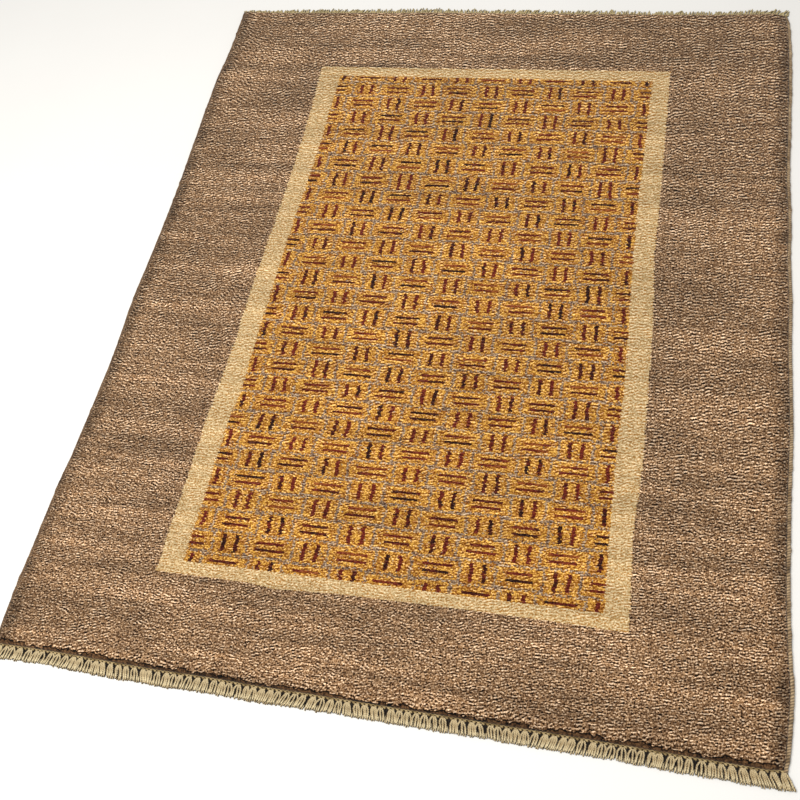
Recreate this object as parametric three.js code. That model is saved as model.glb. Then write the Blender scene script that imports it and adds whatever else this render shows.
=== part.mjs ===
// A hand-knotted wool rug lying flat: the knotted pile cloth, its two overcast selvedges, and the
// flat-woven ends with their fringes. Millimetres, +X along the near end, +Y towards the far end,
// +Z up, with the origin on the floor under the middle of the whole outline.
import * as THREE from "three";

// Outline, over everything at its widest and longest
const RUG_WIDTH = 1511;
const RUG_LENGTH = 1941;

// Knotted cloth: woven foundation and wool pile together
const CLOTH_THICKNESS = 12;
const CLOTH_SIDE_HEIGHT = 7;
const PILE_ROUNDING = 9;
const PILE_UNEVENNESS = 0.6;
// Lengths over which the sheared surface rises and falls, across and along the rug
const PILE_WAVES = { across: 61, acrossDrift: 97, along: 47, alongDrift: 83 };

// Overcast selvedges
const SELVEDGE_WIDTH = 9;
const SELVEDGE_HEIGHT = 7.5;

// Flat-woven ends and their fringes
const END_HEIGHT = 4.5;
const NEAR_END = { weave: 8, fringe: 28, groups: 91, inGroup: 2, groupSpread: 3.1, tipSpread: 4.4 };
const FAR_END = { weave: 6, fringe: 24, groups: 116, inGroup: 1, groupSpread: 0, tipSpread: 0 };
const NEAR_STRAND = { root: 5.2, middle: 6.2, tip: 5, tipHeight: 3.4, lean: 5, ragged: 2.5 };
const FAR_STRAND = { root: 8, middle: 7.4, tip: 3.4, tipHeight: 2.4, lean: 7, ragged: 3.5 };
// How much of its lean a strand has taken at half its length
const STRAND_BEND = 0.4;
// Share of the lean that differs from one strand to its neighbour
const STRAND_SHAKE = 0.08;
// Slow waves of the lean along an end
const LEAN_WAVES = [
  { length: 92, share: 0.6, start: 0 },
  { length: 37, share: 0.4, start: 1.3 },
];
// Spacing of the seeds, so that each strand draws numbers of its own
const RANDOM_STEP = 10;

// Air between neighbouring pieces
const SEAM = 0.3;

// The cloth's grid: lines at these distances in from each rim, even columns and rows between them
const RIM_LINES = [0, 3.5, PILE_ROUNDING, 26, 55];
const CLOTH_COLUMNS = 14;
const CLOTH_ROWS = 24;

// How far the selvedges stand in from the widest line, at stations measured from the near end
const SIDE_LINES = [
  { along: 34, left: 11, right: 12 },
  { along: 60, left: 6, right: 7 },
  { along: 95, left: 4.5, right: 5 },
  { along: 150, left: 4, right: 0 },
  { along: 220, left: 6.2, right: 4.6 },
  { along: 350, left: 6.5, right: 7.5 },
  { along: 490, left: 13.5, right: 6 },
  { along: 700, left: 17, right: 1 },
  { along: 900, left: 10, right: 4 },
  { along: 1000, left: 12.5, right: 1.7 },
  { along: 1110, left: 13.3, right: 5.5 },
  { along: 1220, left: 12.5, right: 3 },
  { along: 1350, left: 8.5, right: 7 },
  { along: 1520, left: 2.8, right: 3.5 },
  { along: 1640, left: 0, right: 1.9 },
  { along: 1750, left: 6, right: 1.4 },
  { along: 1860, left: 3.2, right: 4.5 },
  { along: 1910, left: 3, right: 12 },
];

// How far the fringe tips stand in from the longest line, at stations measured from the left
const END_LINES = [
  { across: 0, near: 2, far: 1 },
  { across: 110, near: 5, far: 11 },
  { across: 300, near: 0.5, far: 7 },
  { across: 380, near: 0, far: 6 },
  { across: 460, near: 3.2, far: 5.7 },
  { across: 540, near: 1, far: 1 },
  { across: 700, near: 3.5, far: 4 },
  { across: 880, near: 4, far: 8 },
  { across: 1060, near: 4.6, far: 7 },
  { across: 1200, near: 5.3, far: 10 },
  { across: 1340, near: 2.8, far: 9.5 },
  { across: 1425, near: 2, far: 2 },
  { across: 1485, near: 2, far: 0 },
  { across: 1511, near: 8, far: 14 },
];
// The cloth's own ends swing this share of what their fringes do
const CLOTH_END_SHARE = 0.5;

// Reads a station table at one place, easing between its rows
function readLine(table, place, station, column) {
  const last = table.length - 1;
  if (place <= table[0][station]) return table[0][column];
  if (place >= table[last][station]) return table[last][column];
  const next = table.findIndex((row) => row[station] > place);
  const [from, to] = [table[next - 1], table[next]];
  const share = (place - from[station]) / (to[station] - from[station]);
  return THREE.MathUtils.lerp(from[column], to[column], THREE.MathUtils.smoothstep(share, 0, 1));
}

const leftSide = (y) => -RUG_WIDTH / 2 + readLine(SIDE_LINES, y + RUG_LENGTH / 2, "along", "left");
const rightSide = (y) => RUG_WIDTH / 2 - readLine(SIDE_LINES, y + RUG_LENGTH / 2, "along", "right");
const nearTips = (x) => -RUG_LENGTH / 2 + readLine(END_LINES, x + RUG_WIDTH / 2, "across", "near");
const farTips = (x) => RUG_LENGTH / 2 - readLine(END_LINES, x + RUG_WIDTH / 2, "across", "far");

function nearClothEnd(x) {
  const swing = (nearTips(x) + RUG_LENGTH / 2) * CLOTH_END_SHARE;
  return -RUG_LENGTH / 2 + NEAR_END.fringe + NEAR_END.weave + swing;
}

function farClothEnd(x) {
  const swing = (RUG_LENGTH / 2 - farTips(x)) * CLOTH_END_SHARE;
  return RUG_LENGTH / 2 - FAR_END.fringe - FAR_END.weave - swing;
}

// A point of the cloth's outline grid, across and along going from 0 to 1
function clothPoint(across, along) {
  const levelX = THREE.MathUtils.lerp(-RUG_WIDTH / 2, RUG_WIDTH / 2, across);
  const y = THREE.MathUtils.lerp(nearClothEnd(levelX), farClothEnd(levelX), along);
  const inset = SELVEDGE_WIDTH + SEAM;
  const x = THREE.MathUtils.lerp(leftSide(y) + inset, rightSide(y) - inset, across);
  return new THREE.Vector2(x, y);
}

// Shares from 0 to 1 of the lines over one length of the cloth: close along the rims, even between
function gridLines(length, count) {
  const rim = RIM_LINES.map((line) => line / length);
  const inner = rim.at(-1);
  const even = Array.from({ length: count - 1 }, (_, i) => inner + ((1 - 2 * inner) * (i + 1)) / count);
  return [...rim, ...even, ...rim.map((share) => 1 - share).reverse()];
}
const ACROSS = gridLines(RUG_WIDTH, CLOTH_COLUMNS);
const ALONG = gridLines(RUG_LENGTH, CLOTH_ROWS);

// A closed solid from its points and triangles
function solid(name, points, triangles, material) {
  const geometry = new THREE.BufferGeometry();
  geometry.setAttribute("position", new THREE.Float32BufferAttribute(points.flat(), 3));
  geometry.setIndex(triangles.flat());
  geometry.computeVertexNormals();
  const mesh = new THREE.Mesh(geometry, material);
  mesh.name = name;
  return mesh;
}

// Triangles over a flat polygon of numbered points, counter-clockwise seen from above
function fillPolygon(points, loop) {
  const outline = loop.map((i) => new THREE.Vector2(points[i][0], points[i][1]));
  return THREE.ShapeUtils.triangulateShape(outline, []).map((face) => face.map((i) => loop[i]));
}

// Height of the pile: full over the cloth, falling away round its rim, a little uneven from the shears
function pileHeight(x, y, across, along) {
  const sideways = Math.min(across, 1 - across) * RUG_WIDTH;
  const lengthways = Math.min(along, 1 - along) * RUG_LENGTH;
  const inward = Math.min(1, Math.min(sideways, lengthways) / PILE_ROUNDING);
  const round = Math.sqrt(1 - (1 - inward) ** 2);
  const waveAcross = Math.sin(x / PILE_WAVES.across + Math.sin(y / PILE_WAVES.alongDrift));
  const waveAlong = Math.sin(y / PILE_WAVES.along - Math.cos(x / PILE_WAVES.acrossDrift));
  const full = CLOTH_THICKNESS - PILE_UNEVENNESS * (1 - waveAcross * waveAlong) * inward;
  return THREE.MathUtils.lerp(CLOTH_SIDE_HEIGHT, full, round);
}

// The knotted cloth: an uneven top grid, upright sides and one flat underside
function buildCloth(material) {
  const points = [];
  for (const along of ALONG) {
    for (const across of ACROSS) {
      const { x, y } = clothPoint(across, along);
      points.push([x, y, pileHeight(x, y, across, along)]);
    }
  }
  const columns = ACROSS.length;
  const rows = ALONG.length;
  const triangles = [];
  for (let row = 0; row < rows - 1; row += 1) {
    for (let column = 0; column < columns - 1; column += 1) {
      const corner = row * columns + column;
      const above = corner + columns;
      triangles.push([corner, corner + 1, above + 1], [corner, above + 1, above]);
    }
  }
  const rim = [];
  for (let column = 0; column < columns - 1; column += 1) rim.push(column);
  for (let row = 0; row < rows - 1; row += 1) rim.push((row + 1) * columns - 1);
  for (let column = columns - 1; column > 0; column -= 1) rim.push((rows - 1) * columns + column);
  for (let row = rows - 1; row > 0; row -= 1) rim.push(row * columns);
  const foot = rim.map((top) => points.push([points[top][0], points[top][1], 0]) - 1);
  rim.forEach((top, i) => {
    const next = (i + 1) % rim.length;
    triangles.push([foot[i], foot[next], rim[next]], [foot[i], rim[next], top]);
  });
  for (const [a, b, c] of fillPolygon(points, foot)) triangles.push([a, c, b]);
  return solid("pile_carpet", points, triangles, material);
}

// Section of an overcast selvedge, from the cloth outwards: flat underneath, round on top
const SELVEDGE_SECTION = [
  { out: 0, up: 1.5 },
  { out: 0.15, up: 0 },
  { out: 0.85, up: 0 },
  { out: 1, up: 2.6 },
  { out: 0.9, up: 5.6 },
  { out: 0.5, up: SELVEDGE_HEIGHT },
  { out: 0.1, up: 5.6 },
];

// One selvedge, following the cloth's side from end to end
function buildSelvedge(name, side, material) {
  const across = side < 0 ? 0 : 1;
  const count = SELVEDGE_SECTION.length;
  const points = [];
  for (const along of ALONG) {
    const { x, y } = clothPoint(across, along);
    for (const { out, up } of SELVEDGE_SECTION) {
      points.push([x + side * (SEAM + out * SELVEDGE_WIDTH), y, up]);
    }
  }
  const triangles = [];
  for (let ring = 0; ring < ALONG.length - 1; ring += 1) {
    for (let i = 0; i < count; i += 1) {
      const a = ring * count + i;
      const b = ring * count + ((i + 1) % count);
      triangles.push([a, b, b + count], [a, b + count, a + count]);
    }
  }
  const lastRing = (ALONG.length - 1) * count;
  for (let i = 1; i < count - 1; i += 1) {
    triangles.push([0, i + 1, i], [lastRing, lastRing + i, lastRing + i + 1]);
  }
  if (side > 0) triangles.forEach((face) => face.reverse());
  return solid(name, points, triangles, material);
}

// A number from -1 to 1 that looks uneven from strand to strand and is the same each time
function uneven(i, kind) {
  return 2 * THREE.MathUtils.seededRandom(i * RANDOM_STEP + kind) - 1;
}

// The slow lean of a fringe along its end, from -1 to 1
function slowLean(x) {
  return LEAN_WAVES.reduce((sum, wave) => sum + wave.share * Math.sin(x / wave.length + wave.start), 0);
}

// The strands of one end, left to right: where each leaves the weave and where it ends
function layStrands(left, right, end, strand, tipLine) {
  const pitch = (right - left) / end.groups;
  const strands = [];
  for (let group = 0; group < end.groups; group += 1) {
    const middle = left + (group + 0.5) * pitch;
    for (let member = 0; member < end.inGroup; member += 1) {
      const place = end.inGroup > 1 ? 2 * member - 1 : 0;
      const shake = STRAND_SHAKE * uneven(group, member);
      const tipX = middle + place * end.tipSpread + strand.lean * (slowLean(middle) + shake);
      const short = Math.abs(uneven(group, member + end.inGroup)) * strand.ragged;
      strands.push({ rootX: middle + place * end.groupSpread, tipX, tip: tipLine(tipX), short });
    }
  }
  return strands;
}

// Level triangles facing up between two lines of numbered points, both running left to right
function bridge(points, south, north) {
  const triangles = [];
  let [i, j] = [0, 0];
  while (i < south.length - 1 || j < north.length - 1) {
    const southNext = i < south.length - 1 ? points[south[i + 1]][0] : Infinity;
    const northNext = j < north.length - 1 ? points[north[j + 1]][0] : Infinity;
    if (southNext <= northNext) {
      triangles.push([south[i], south[i + 1], north[j]]);
      i += 1;
    } else {
      triangles.push([south[i], north[j + 1], north[j]]);
      j += 1;
    }
  }
  return triangles;
}

// The line where an end's weave meets the cloth and its selvedges, left to right
function weaveLine(clothEnd) {
  const line = ACROSS.map((across) => clothPoint(across, clothEnd));
  const overSelvedge = new THREE.Vector2(SELVEDGE_WIDTH + SEAM, 0);
  line.unshift(line[0].clone().sub(overSelvedge));
  line.push(line[line.length - 1].clone().add(overSelvedge));
  return line;
}

// Height of a line of points above the X axis at one place
function lineAt(line, x) {
  const found = line.findIndex((point) => point.x >= x);
  const next = found < 0 ? line.length - 1 : Math.max(1, found);
  const [from, to] = [line[next - 1], line[next]];
  return THREE.MathUtils.mapLinear(x, from.x, to.x, from.y, to.y);
}

// Three three-sided sections of a strand, from its root in the weave to its cut or looped tip
function strandSections({ rootX, tipX, tip, short }, rootY, side, strand) {
  const tipY = tip - side * short;
  const bendX = THREE.MathUtils.lerp(rootX, tipX, STRAND_BEND);
  const places = [
    { x: rootX, y: rootY, width: strand.root, height: END_HEIGHT },
    { x: bendX, y: (rootY + tipY) / 2, width: strand.middle, height: END_HEIGHT },
    { x: tipX, y: tipY, width: strand.tip, height: strand.tipHeight },
  ];
  return places.map(({ x, y, width, height }) => [
    [x - width / 2, y, 0],
    [x + width / 2, y, 0],
    [x, y, height],
  ]);
}

// One end: a flat-woven strip whose strands are fused to its outer edge and rest on the floor
function buildEnd(name, side, end, strand, material) {
  const line = weaveLine(side < 0 ? 0 : 1);
  const points = [];
  const walls = [];
  const add = (x, y, z) => points.push([x, y, z]) - 1;
  const backLow = line.map(({ x, y }) => add(x, y + side * SEAM, 0));
  const backHigh = line.map(({ x, y }) => add(x, y + side * SEAM, END_HEIGHT));
  const frontY = (x) => lineAt(line, x) + side * end.weave;

  const left = line[0].x;
  const right = line[line.length - 1].x;
  const frontLow = [add(left, frontY(left), 0)];
  const frontHigh = [add(left, frontY(left), END_HEIGHT)];
  for (const laid of layStrands(left, right, end, strand, side < 0 ? nearTips : farTips)) {
    const sections = strandSections(laid, frontY(laid.rootX), side, strand);
    const rings = sections.map((section) => section.map((point) => add(...point)));
    rings.slice(1).forEach((ring, i) => {
      const before = rings[i];
      for (const [a, b] of [[0, 1], [1, 2], [2, 0]]) {
        walls.push([before[a], ring[b], ring[a]], [before[a], before[b], ring[b]]);
      }
    });
    walls.push(rings[rings.length - 1]);
    const [rootLeft, rootRight, rootTop] = rings[0];
    walls.push([frontLow.at(-1), rootLeft, rootTop], [frontLow.at(-1), rootTop, frontHigh.at(-1)]);
    frontLow.push(rootLeft, rootRight);
    frontHigh.push(rootTop);
  }
  const endLow = add(right, frontY(right), 0);
  const endHigh = add(right, frontY(right), END_HEIGHT);
  walls.push([frontLow.at(-1), endLow, endHigh], [frontLow.at(-1), endHigh, frontHigh.at(-1)]);
  frontLow.push(endLow);
  frontHigh.push(endHigh);

  walls.push([frontLow[0], frontHigh[0], backHigh[0]], [frontLow[0], backHigh[0], backLow[0]]);
  walls.push([endLow, backLow.at(-1), backHigh.at(-1)], [endLow, backHigh.at(-1), endHigh]);
  for (let i = 0; i < line.length - 1; i += 1) {
    const upright = [backLow[i], backHigh[i], backHigh[i + 1]];
    walls.push(upright, [backLow[i], backHigh[i + 1], backLow[i + 1]]);
  }
  if (side > 0) walls.forEach((face) => face.reverse());
  const top = side < 0 ? bridge(points, frontHigh, backHigh) : bridge(points, backHigh, frontHigh);
  const foot = side < 0 ? bridge(points, frontLow, backLow) : bridge(points, backLow, frontLow);
  foot.forEach((face) => face.reverse());
  return solid(name, points, [...walls, ...top, ...foot], material);
}

const wool = new THREE.MeshStandardMaterial({ color: 0x94755a, roughness: 0.95, metalness: 0 });
const overcast = new THREE.MeshStandardMaterial({ color: 0x9a8468, roughness: 0.95, metalness: 0 });
const cotton = new THREE.MeshStandardMaterial({ color: 0xd8cba2, roughness: 0.9, metalness: 0 });

const rug = new THREE.Group();
rug.add(buildCloth(wool));
rug.add(buildSelvedge("selvedge_left", -1, overcast));
rug.add(buildSelvedge("selvedge_right", 1, overcast));
rug.add(buildEnd("end_fringe_near", -1, NEAR_END, NEAR_STRAND, cotton));
rug.add(buildEnd("end_fringe_far", 1, FAR_END, FAR_STRAND, cotton));

// The uneven outline is centred over the origin
const middle = new THREE.Box3().setFromObject(rug).getCenter(new THREE.Vector3());
rug.position.set(-middle.x, -middle.y, 0);

export default rug;
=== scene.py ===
import math

import bmesh
import bpy
import numpy as np
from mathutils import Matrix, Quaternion, Vector


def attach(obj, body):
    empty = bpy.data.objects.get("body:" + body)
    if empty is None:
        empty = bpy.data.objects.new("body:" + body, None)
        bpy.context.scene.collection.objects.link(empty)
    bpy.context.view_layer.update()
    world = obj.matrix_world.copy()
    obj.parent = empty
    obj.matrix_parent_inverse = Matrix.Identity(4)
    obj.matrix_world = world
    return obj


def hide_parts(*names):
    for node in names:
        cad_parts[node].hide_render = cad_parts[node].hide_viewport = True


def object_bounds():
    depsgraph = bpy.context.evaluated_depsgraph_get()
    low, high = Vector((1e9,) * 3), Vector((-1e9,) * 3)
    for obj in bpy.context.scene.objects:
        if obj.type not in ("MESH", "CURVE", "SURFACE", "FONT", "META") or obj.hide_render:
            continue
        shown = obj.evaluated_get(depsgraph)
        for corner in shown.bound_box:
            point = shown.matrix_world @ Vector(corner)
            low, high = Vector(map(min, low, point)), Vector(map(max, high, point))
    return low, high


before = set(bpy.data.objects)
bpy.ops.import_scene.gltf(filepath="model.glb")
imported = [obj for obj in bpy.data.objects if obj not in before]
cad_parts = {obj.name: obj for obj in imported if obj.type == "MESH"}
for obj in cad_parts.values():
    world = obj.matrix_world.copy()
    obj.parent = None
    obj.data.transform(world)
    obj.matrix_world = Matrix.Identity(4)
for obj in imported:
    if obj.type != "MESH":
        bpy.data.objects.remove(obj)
cad_low, cad_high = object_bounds()

# The woven ground.
# Cotton warps and wefts, beaten close into a thin stiff cloth that carries every knot of the rug.
# The knots go round its warps, so its back shows the same design as the pile, flatter and finer.
MM = 0.001
GROUND_THICKNESS = 2.4 * MM
GROUND_COLUMNS = 60
GROUND_ROWS = 76

# One motif of the field in knots and rows, and how many motifs the field holds
MOTIF_KNOTS = 28
MOTIF_ROWS = 15
FIELD_MOTIFS = (10, 28)
FIELD_KNOTS = MOTIF_KNOTS * FIELD_MOTIFS[0]
FIELD_ROWS = MOTIF_ROWS * FIELD_MOTIFS[1]
# The cream band round the field, in knots at the sides and in rows at the ends
BAND_LEFT = 17.5
BAND_RIGHT = 16.5
BAND_NEAR = 8
BAND_FAR = 10.5
# The brown border outside it
BORDER_SIDE = 98
BORDER_END = 60
# The two motifs from their middle, in knots sideways and in rows up and down
MOTIF = {
    "square_knots": 10.6, "square_rows": 7.4, "beside_knots": 13, "bar_rows": 5.7,
    "upright_middle": 4.4, "upright_half": 1.4, "upright_end": 5.2,
    "level_middle": 2.25, "level_half": 0.88, "level_end": 8.9,
}

# Where the loom let the band wander, in millimetres from the left and the near side of the rug's box:
# the outer and inner edge of its two sides at places along the rug, and of its two ends across it
BAND_SIDES = [
    {"along": 240, "left_out": 295, "left_in": 348, "right_in": 1178, "right_out": 1226},
    {"along": 420, "left_out": 297, "left_in": 349, "right_in": 1174, "right_out": 1219},
    {"along": 570, "left_out": 297, "left_in": 350, "right_in": 1173, "right_out": 1227},
    {"along": 650, "left_out": 300, "left_in": 356, "right_in": 1174, "right_out": 1226},
    {"along": 800, "left_out": 304, "left_in": 354, "right_in": 1176, "right_out": 1226},
    {"along": 950, "left_out": 302, "left_in": 354, "right_in": 1172, "right_out": 1223},
    {"along": 1100, "left_out": 305, "left_in": 354, "right_in": 1169, "right_out": 1216},
    {"along": 1240, "left_out": 308, "left_in": 357, "right_in": 1168, "right_out": 1218},
    {"along": 1400, "left_out": 307, "left_in": 360, "right_in": 1171, "right_out": 1218},
    {"along": 1540, "left_out": 303, "left_in": 358, "right_in": 1173, "right_out": 1218},
    {"along": 1660, "left_out": 297, "left_in": 357, "right_in": 1175, "right_out": 1218},
]
BAND_ENDS = [
    {"across": 310, "near_out": 222, "near_in": 249, "far_in": 1650, "far_out": 1686},
    {"across": 490, "near_out": 224, "near_in": 252, "far_in": 1650, "far_out": 1685},
    {"across": 550, "near_out": 218, "near_in": 253, "far_in": 1650, "far_out": 1685},
    {"across": 670, "near_out": 226, "near_in": 254, "far_in": 1650, "far_out": 1685},
    {"across": 970, "near_out": 231, "near_in": 257, "far_in": 1650, "far_out": 1687},
    {"across": 1210, "near_out": 230, "near_in": 260, "far_in": 1650, "far_out": 1688},
]
# How far motifs stand off from even spacing, in millimetres: rows along the rug and knots across it
ROW_DRIFT = [
    {"along": 255, "off": 0},
    {"along": 420, "off": -6},
    {"along": 500, "off": -10},
    {"along": 600, "off": -19},
    {"along": 740, "off": -26},
    {"along": 880, "off": -31},
    {"along": 1060, "off": -26},
    {"along": 1280, "off": -22},
    {"along": 1380, "off": -10},
    {"along": 1480, "off": -4},
    {"along": 1600, "off": 0},
]
KNOT_DRIFT = [
    {"across": 350, "off": 0},
    {"across": 450, "off": 2},
    {"across": 600, "off": 5},
    {"across": 755, "off": 9},
    {"across": 920, "off": 9},
    {"across": 1070, "off": 3},
    {"across": 1170, "off": 0},
]


def cloth_sides(node):
    """The four sides of the cloth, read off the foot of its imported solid, as lines of points."""
    points = np.array([corner.co for corner in node.data.vertices])
    foot = np.unique(points[points[:, 2] < 0.1 * MM][:, :2].round(6), axis=0)
    turn = np.arctan2(foot[:, 1], foot[:, 0])
    corner = {way: turn[np.argmax(foot @ np.array(way))] for way in ((-1, -1), (1, -1), (1, 1), (-1, 1))}
    near = foot[(turn >= corner[-1, -1]) & (turn <= corner[1, -1])]
    right = foot[(turn >= corner[1, -1]) & (turn <= corner[1, 1])]
    far = foot[(turn >= corner[1, 1]) & (turn <= corner[-1, 1])]
    left = foot[(turn >= corner[-1, 1]) | (turn <= corner[-1, -1])]
    return [line[np.argsort(line[:, axis])] for line, axis in ((left, 1), (right, 1), (near, 0), (far, 0))]


left_line, right_line, near_line, far_line = cloth_sides(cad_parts["pile_carpet"])


def left_at(y):
    return np.interp(y, left_line[:, 1], left_line[:, 0])


def right_at(y):
    return np.interp(y, right_line[:, 1], right_line[:, 0])


def near_at(x):
    return np.interp(x, near_line[:, 0], near_line[:, 1])


def far_at(x):
    return np.interp(x, far_line[:, 0], far_line[:, 1])


def cloth_place(across, along):
    """A point of the cloth, where across and along go from 0 to 1 between its sides and its ends."""
    level = near_line[0, 0] + (near_line[-1, 0] - near_line[0, 0]) * across
    y = near_at(level) + (far_at(level) - near_at(level)) * along
    x = left_at(y) + (right_at(y) - left_at(y)) * across
    return x, y


def band_line(table, station, column, place, start):
    """Where one edge of the band lies at each place, in metres in the rug's own frame."""
    places = [row[station] * MM for row in table]
    edge = [row[column] * MM for row in table]
    return np.interp(place - start[station], places, edge)


def read_ruler(value, marks, counts):
    """Reads values between uneven marks as the even counts of a ruler."""
    reading = np.zeros_like(value)
    for low, high, first, last in zip(marks[:-1], marks[1:], counts[:-1], counts[1:]):
        share = (value - low) / (high - low)
        beyond = (value >= low) | (first == counts[0])
        reading = np.where(beyond, first + (last - first) * share, reading)
    return reading


def evened(place, table, station, start):
    """Where points would lie had the motifs kept even spacing."""
    off = np.array([row["off"] for row in table]) * MM
    stations = np.array([row[station] for row in table]) * MM + start[station]
    return place - np.interp(place, stations + off, off)


def chart_place(x, y):
    """The knot and the row of the weaver's chart at points of the cloth."""
    start = {"across": cad_low.x, "along": cad_low.y}
    side = [band_line(BAND_SIDES, "along", name, y, start) + cad_low.x
            for name in ("left_out", "left_in", "right_in", "right_out")]
    end = [band_line(BAND_ENDS, "across", name, x, start) + cad_low.y
           for name in ("near_out", "near_in", "far_in", "far_out")]
    knots = read_ruler(
        evened(x, KNOT_DRIFT, "across", start),
        [left_at(y), *side, right_at(y)],
        [-BAND_LEFT - BORDER_SIDE, -BAND_LEFT, 0, FIELD_KNOTS, FIELD_KNOTS + BAND_RIGHT,
         FIELD_KNOTS + BAND_RIGHT + BORDER_SIDE],
    )
    rows = read_ruler(
        evened(y, ROW_DRIFT, "along", start),
        [near_at(x), *end, far_at(x)],
        [-BAND_NEAR - BORDER_END, -BAND_NEAR, 0, FIELD_ROWS, FIELD_ROWS + BAND_FAR,
         FIELD_ROWS + BAND_FAR + BORDER_END],
    )
    return knots, rows


def make_mesh(name, points, faces, material, smooth=True):
    """A mesh object from an array of points and an array of faces with the same number of corners."""
    mesh = bpy.data.meshes.new(name)
    faces = np.asarray(faces, dtype=np.int32)
    mesh.vertices.add(len(points))
    mesh.vertices.foreach_set("co", np.asarray(points, dtype=np.float32).ravel())
    mesh.loops.add(faces.size)
    mesh.loops.foreach_set("vertex_index", faces.ravel())
    mesh.polygons.add(len(faces))
    mesh.polygons.foreach_set("loop_start", np.arange(0, faces.size, faces.shape[1], dtype=np.int32))
    mesh.update(calc_edges=True)
    mesh.polygons.foreach_set("use_smooth", np.full(len(faces), smooth))
    mesh.materials.append(material)
    piece = bpy.data.objects.new(name, mesh)
    bpy.context.scene.collection.objects.link(piece)
    return piece


def paint_points(piece, name, values):
    """Keeps three numbers at each point of a piece, for its material to read."""
    kept = piece.data.attributes.new(name, "FLOAT_VECTOR", "POINT")
    kept.data.foreach_set("vector", np.asarray(values, dtype=np.float32).ravel())


def grid_faces(rows, columns):
    """The four-cornered faces of a grid of points numbered row by row."""
    corner = np.arange((rows - 1) * columns).reshape(rows - 1, columns)[:, :-1].ravel()
    return np.stack([corner, corner + 1, corner + columns + 1, corner + columns], axis=1)


def tube_faces(rings, sides):
    """The faces of a tube made of rings of points, an even number in each, with a lid on both ends."""
    ring = np.arange(sides)
    base = (np.arange(rings - 1) * sides)[:, None]
    a, b = base + ring, base + np.roll(ring, -1)
    wall = np.stack([a, b, b + sides, a + sides], axis=2).reshape(-1, 4)
    step = np.arange(sides // 2 - 1)
    lid = np.stack([step, step + 1, sides - 2 - step, sides - 1 - step], axis=1)
    return np.concatenate([wall, lid[:, ::-1], lid + (rings - 1) * sides])


def unwrap_grid(piece, rows, columns):
    """Gives every cell of a grid the same room on the flat map meant to hold its colours."""
    flat_map = piece.data.uv_layers.new(name="OFBake")
    numbers = np.zeros(len(piece.data.loops), dtype=np.int32)
    piece.data.loops.foreach_get("vertex_index", numbers)
    sideways = (numbers % columns) / (columns - 1)
    upwards = (numbers // columns) / (rows - 1)
    flat_map.data.foreach_set("uv", np.stack([sideways, upwards], axis=1).astype(np.float32).ravel())


def dye(red, green, blue):
    """A colour as a dyer matches it on a screen, from 0 to 255, turned into the light it gives back."""
    channels = [value / 255 for value in (red, green, blue)]
    return tuple(v / 12.92 if v < 0.04045 else ((v + 0.055) / 1.055) ** 2.4 for v in channels) + (1.0,)


def join(tree, value, socket):
    """Gives a socket a number or a colour, or links to it what another node works out."""
    if isinstance(value, Number):
        tree.links.new(value.socket, socket)
    elif isinstance(value, bpy.types.NodeSocket):
        tree.links.new(value, socket)
    else:
        socket.default_value = value


class Number:
    """A number worked out at each point of a surface, written with ordinary arithmetic."""

    def __init__(self, tree, socket):
        self.tree = tree
        self.socket = socket

    def work(self, operation, *others):
        made = self.tree.nodes.new("ShaderNodeMath")
        made.operation = operation
        for socket, value in zip(made.inputs, (self, *others)):
            join(self.tree, value, socket)
        return Number(self.tree, made.outputs[0])

    def __add__(self, other):
        return self.work("ADD", other)

    def __sub__(self, other):
        return self.work("SUBTRACT", other)

    def __mul__(self, other):
        return self.work("MULTIPLY", other)

    def __truediv__(self, other):
        return self.work("DIVIDE", other)

    def __abs__(self):
        return self.work("ABSOLUTE")

    def __lt__(self, other):
        return self.work("LESS_THAN", other)

    def __gt__(self, other):
        return self.work("GREATER_THAN", other)

    def __mod__(self, other):
        return self.work("FLOORED_MODULO", other)

    def floor(self):
        return self.work("FLOOR")

    def least(self, other):
        return self.work("MINIMUM", other)

    def most(self, other):
        return self.work("MAXIMUM", other)

    def ramp(self, low, high, first=0.0, last=1.0):
        """Goes smoothly from first to last as the number goes from low to high."""
        made = self.tree.nodes.new("ShaderNodeMapRange")
        made.interpolation_type = "SMOOTHSTEP"
        for name, value in (("Value", self), ("From Min", low), ("From Max", high),
                            ("To Min", first), ("To Max", last)):
            join(self.tree, value, made.inputs[name])
        return Number(self.tree, made.outputs[0])


def start_material(name, roughness, sheen, sheen_roughness):
    """A material with its shader, whose even values are set here on its own sockets."""
    material = bpy.data.materials.new(name)
    material.use_nodes = True
    shader = material.node_tree.nodes["Principled BSDF"]
    shader.inputs["Roughness"].default_value = roughness
    shader.inputs["Sheen Weight"].default_value = sheen
    shader.inputs["Sheen Roughness"].default_value = sheen_roughness
    shader.inputs["Specular IOR Level"].default_value = 0.15
    return material, material.node_tree, shader


def read_points(tree, name):
    """The three numbers that a piece keeps at its points."""
    kept = tree.nodes.new("ShaderNodeAttribute")
    kept.attribute_name = name
    parts = tree.nodes.new("ShaderNodeSeparateXYZ")
    tree.links.new(kept.outputs["Vector"], parts.inputs[0])
    return [Number(tree, output) for output in parts.outputs]


def at(tree, x, y, z=0.0):
    """A place for a texture, from three numbers."""
    made = tree.nodes.new("ShaderNodeCombineXYZ")
    for socket, value in zip(made.inputs, (x, y, z)):
        join(tree, value, socket)
    return made.outputs[0]


def cloud(tree, place, scale=1.0, detail=2.0, roughness=0.5):
    """Soft uneven patches, from about 0.2 to 0.8 round a middle of a half."""
    made = tree.nodes.new("ShaderNodeTexNoise")
    join(tree, place, made.inputs["Vector"])
    made.inputs["Scale"].default_value = scale
    made.inputs["Detail"].default_value = detail
    made.inputs["Roughness"].default_value = roughness
    return Number(tree, made.outputs[0])


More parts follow.
